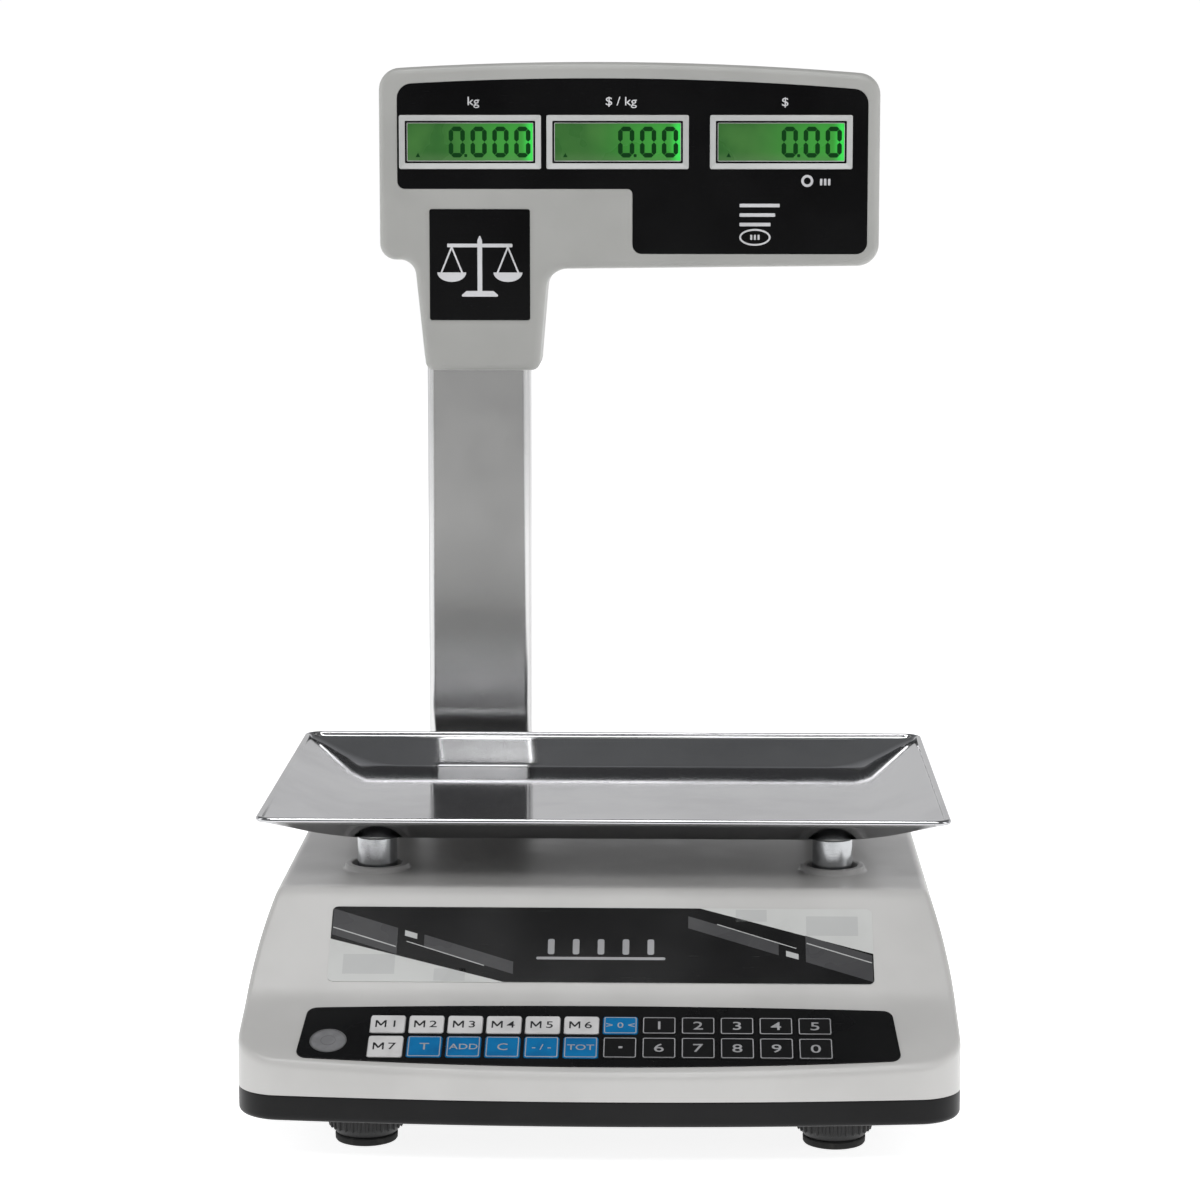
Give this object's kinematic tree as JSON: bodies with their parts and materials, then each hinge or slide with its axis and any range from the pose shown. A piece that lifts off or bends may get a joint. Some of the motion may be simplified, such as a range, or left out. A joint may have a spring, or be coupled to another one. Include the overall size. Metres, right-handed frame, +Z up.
{
  "type": "retail weighing scale",
  "caption": "Price-computing retail scale: sloped key panel, lift-off steel pan on posts, and a pole with a two-sided display head.",
  "frame": {"origin": "on the floor, under the middle of the whole object's bounding box", "axes": "+Z up, -Y towards the keypad (the seller's side), +X to the seller's right"},
  "size_m": [0.34, 0.4088, 0.5139],
  "materials": {
    "cover_plastic": "fine moulded grain, white",
    "tray_plastic": "black, fine grain",
    "panel_film": "printed black film",
    "label_film": "printed film label",
    "circuit_board": "green laminate with parts",
    "vial": "round level insert",
    "battery_case": "sealed battery case",
    "black_plastic": "black moulded plastic",
    "rocker_plastic": "black rocker",
    "screw_steel": "zinc-plated screws",
    "bolt_steel": "black-oxide bolts",
    "beam_aluminium": "milled",
    "cast_aluminium": "die cast",
    "post_steel": "turned",
    "seat_rubber": "white rubber",
    "pan_steel": "bright stainless sheet",
    "bracket_steel": "powder-coated steel",
    "pole_steel": "satin stainless tube",
    "cable_sheath": "grey ribbon",
    "head_plastic": "fine moulded grain, white",
    "display_film": "printed black panel",
    "display_glass": "backlit display glass",
    "knob_plastic": "black knob",
    "pad_rubber": "black rubber",
    "key_white": "white key",
    "key_black": "black key",
    "key_blue": "blue key"
  },
  "bodies": {
    "base": {"top_cover": "cover_plastic", "bottom_tray": "tray_plastic", "keypad_overlay": "panel_film", "keypad_board": "circuit_board", "film_labels": "label_film", "level_vial": "vial", "main_board": "circuit_board", "battery": "battery_case", "battery_door": "black_plastic", "power_inlet": "black_plastic", "switch_housing": "black_plastic", "housing_screws": "screw_steel", "load_cell": "beam_aluminium", "frame_bolts": "bolt_steel", "pole_bracket": "bracket_steel", "pole_tube": "pole_steel", "display_cable": "cable_sheath", "head_front": "head_plastic", "head_back": "head_plastic", "display_overlays": "display_film", "display_glasses": "display_glass", "display_board": "circuit_board"},
    "platform": {"load_platform": "cast_aluminium", "platform_bolts": "bolt_steel", "pan_posts": "post_steel", "pan_seats": "seat_rubber"},
    "pan": {"weighing_pan": "pan_steel"},
    "rocker": {"power_rocker": "rocker_plastic"},
    "pad_front_left": {"foot_pad_front_left": "pad_rubber"},
    "knob_front_left": {"foot_knob_front_left": "knob_plastic"},
    "pad_front_right": {"foot_pad_front_right": "pad_rubber"},
    "knob_front_right": {"foot_knob_front_right": "knob_plastic"},
    "pad_back_left": {"foot_pad_back_left": "pad_rubber"},
    "knob_back_left": {"foot_knob_back_left": "knob_plastic"},
    "pad_back_right": {"foot_pad_back_right": "pad_rubber"},
    "knob_back_right": {"foot_knob_back_right": "knob_plastic"},
    "key_m1": {"key_m1": "key_white"},
    "key_m2": {"key_m2": "key_white"},
    "key_m3": {"key_m3": "key_white"},
    "key_m4": {"key_m4": "key_white"},
    "key_m5": {"key_m5": "key_white"},
    "key_m6": {"key_m6": "key_white"},
    "key_zero": {"key_zero": "key_blue"},
    "key_1": {"key_1": "key_black"},
    "key_2": {"key_2": "key_black"},
    "key_3": {"key_3": "key_black"},
    "key_4": {"key_4": "key_black"},
    "key_5": {"key_5": "key_black"},
    "key_m7": {"key_m7": "key_white"},
    "key_tare": {"key_tare": "key_blue"},
    "key_add": {"key_add": "key_blue"},
    "key_clear": {"key_clear": "key_blue"},
    "key_change": {"key_change": "key_blue"},
    "key_total": {"key_total": "key_blue"},
    "key_point": {"key_point": "key_black"},
    "key_6": {"key_6": "key_black"},
    "key_7": {"key_7": "key_black"},
    "key_8": {"key_8": "key_black"},
    "key_9": {"key_9": "key_black"},
    "key_0": {"key_0": "key_black"}
  },
  "joints": [
    {"name": "platform_press", "type": "slide", "parent": "base", "child": "platform", "axis": [0, 0, 1], "range_m": [-0.0006, 0], "stiffness_N_per_m": 300000, "deforming": ["load_cell"]},
    {"name": "pan_lift", "type": "slide", "parent": "platform", "child": "pan", "axis": [0, 0, 1], "range_m": [0, 0.06]},
    {"name": "power_switch", "type": "hinge", "parent": "base", "child": "rocker", "pos_m": [0.072, 0.16455, 0.065], "axis": [0, 0, 1], "range_deg": [0, 24]},
    {"name": "foot_lift_front_left", "type": "slide", "parent": "base", "child": "pad_front_left", "axis": [0, 0, 1], "range_m": [-0.005, 0]},
    {"name": "foot_turn_front_left", "type": "hinge", "parent": "pad_front_left", "child": "knob_front_left", "pos_m": [-0.112, -0.15095, 0.01], "axis": [0, 0, 1], "range_deg": [-1445, 0]},
    {"name": "foot_lift_front_right", "type": "slide", "parent": "base", "child": "pad_front_right", "axis": [0, 0, 1], "range_m": [-0.005, 0]},
    {"name": "foot_turn_front_right", "type": "hinge", "parent": "pad_front_right", "child": "knob_front_right", "pos_m": [0.112, -0.15095, 0.01], "axis": [0, 0, 1], "range_deg": [-1445, 0]},
    {"name": "foot_lift_back_left", "type": "slide", "parent": "base", "child": "pad_back_left", "axis": [0, 0, 1], "range_m": [-0.005, 0]},
    {"name": "foot_turn_back_left", "type": "hinge", "parent": "pad_back_left", "child": "knob_back_left", "pos_m": [-0.112, 0.11005, 0.01], "axis": [0, 0, 1], "range_deg": [-1445, 0]},
    {"name": "foot_lift_back_right", "type": "slide", "parent": "base", "child": "pad_back_right", "axis": [0, 0, 1], "range_m": [-0.005, 0]},
    {"name": "foot_turn_back_right", "type": "hinge", "parent": "pad_back_right", "child": "knob_back_right", "pos_m": [0.112, 0.11005, 0.01], "axis": [0, 0, 1], "range_deg": [-1445, 0]},
    {"name": "press_key_m1", "type": "slide", "parent": "base", "child": "key_m1", "axis": [0, -0.3928, 0.9196], "range_m": [-0.0004, 0], "stiffness_N_per_m": 2500},
    {"name": "press_key_m2", "type": "slide", "parent": "base", "child": "key_m2", "axis": [0, -0.3928, 0.9196], "range_m": [-0.0004, 0], "stiffness_N_per_m": 2500},
    {"name": "press_key_m3", "type": "slide", "parent": "base", "child": "key_m3", "axis": [0, -0.3928, 0.9196], "range_m": [-0.0004, 0], "stiffness_N_per_m": 2500},
    {"name": "press_key_m4", "type": "slide", "parent": "base", "child": "key_m4", "axis": [0, -0.3928, 0.9196], "range_m": [-0.0004, 0], "stiffness_N_per_m": 2500},
    {"name": "press_key_m5", "type": "slide", "parent": "base", "child": "key_m5", "axis": [0, -0.3928, 0.9196], "range_m": [-0.0004, 0], "stiffness_N_per_m": 2500},
    {"name": "press_key_m6", "type": "slide", "parent": "base", "child": "key_m6", "axis": [0, -0.3928, 0.9196], "range_m": [-0.0004, 0], "stiffness_N_per_m": 2500},
    {"name": "press_key_zero", "type": "slide", "parent": "base", "child": "key_zero", "axis": [0, -0.3928, 0.9196], "range_m": [-0.0004, 0], "stiffness_N_per_m": 2500},
    {"name": "press_key_1", "type": "slide", "parent": "base", "child": "key_1", "axis": [0, -0.3928, 0.9196], "range_m": [-0.0004, 0], "stiffness_N_per_m": 2500},
    {"name": "press_key_2", "type": "slide", "parent": "base", "child": "key_2", "axis": [0, -0.3928, 0.9196], "range_m": [-0.0004, 0], "stiffness_N_per_m": 2500},
    {"name": "press_key_3", "type": "slide", "parent": "base", "child": "key_3", "axis": [0, -0.3928, 0.9196], "range_m": [-0.0004, 0], "stiffness_N_per_m": 2500},
    {"name": "press_key_4", "type": "slide", "parent": "base", "child": "key_4", "axis": [0, -0.3928, 0.9196], "range_m": [-0.0004, 0], "stiffness_N_per_m": 2500},
    {"name": "press_key_5", "type": "slide", "parent": "base", "child": "key_5", "axis": [0, -0.3928, 0.9196], "range_m": [-0.0004, 0], "stiffness_N_per_m": 2500},
    {"name": "press_key_m7", "type": "slide", "parent": "base", "child": "key_m7", "axis": [0, -0.3928, 0.9196], "range_m": [-0.0004, 0], "stiffness_N_per_m": 2500},
    {"name": "press_key_tare", "type": "slide", "parent": "base", "child": "key_tare", "axis": [0, -0.3928, 0.9196], "range_m": [-0.0004, 0], "stiffness_N_per_m": 2500},
    {"name": "press_key_add", "type": "slide", "parent": "base", "child": "key_add", "axis": [0, -0.3928, 0.9196], "range_m": [-0.0004, 0], "stiffness_N_per_m": 2500},
    {"name": "press_key_clear", "type": "slide", "parent": "base", "child": "key_clear", "axis": [0, -0.3928, 0.9196], "range_m": [-0.0004, 0], "stiffness_N_per_m": 2500},
    {"name": "press_key_change", "type": "slide", "parent": "base", "child": "key_change", "axis": [0, -0.3928, 0.9196], "range_m": [-0.0004, 0], "stiffness_N_per_m": 2500},
    {"name": "press_key_total", "type": "slide", "parent": "base", "child": "key_total", "axis": [0, -0.3928, 0.9196], "range_m": [-0.0004, 0], "stiffness_N_per_m": 2500},
    {"name": "press_key_point", "type": "slide", "parent": "base", "child": "key_point", "axis": [0, -0.3928, 0.9196], "range_m": [-0.0004, 0], "stiffness_N_per_m": 2500},
    {"name": "press_key_6", "type": "slide", "parent": "base", "child": "key_6", "axis": [0, -0.3928, 0.9196], "range_m": [-0.0004, 0], "stiffness_N_per_m": 2500},
    {"name": "press_key_7", "type": "slide", "parent": "base", "child": "key_7", "axis": [0, -0.3928, 0.9196], "range_m": [-0.0004, 0], "stiffness_N_per_m": 2500},
    {"name": "press_key_8", "type": "slide", "parent": "base", "child": "key_8", "axis": [0, -0.3928, 0.9196], "range_m": [-0.0004, 0], "stiffness_N_per_m": 2500},
    {"name": "press_key_9", "type": "slide", "parent": "base", "child": "key_9", "axis": [0, -0.3928, 0.9196], "range_m": [-0.0004, 0], "stiffness_N_per_m": 2500},
    {"name": "press_key_0", "type": "slide", "parent": "base", "child": "key_0", "axis": [0, -0.3928, 0.9196], "range_m": [-0.0004, 0], "stiffness_N_per_m": 2500}
  ],
  "couplings": [
    {"joint": "foot_turn_front_left", "follows": "foot_lift_front_left", "rad_per_m": 5026.5},
    {"joint": "foot_turn_front_right", "follows": "foot_lift_front_right", "rad_per_m": 5026.5},
    {"joint": "foot_turn_back_left", "follows": "foot_lift_back_left", "rad_per_m": 5026.5},
    {"joint": "foot_turn_back_right", "follows": "foot_lift_back_right", "rad_per_m": 5026.5}
  ]
}
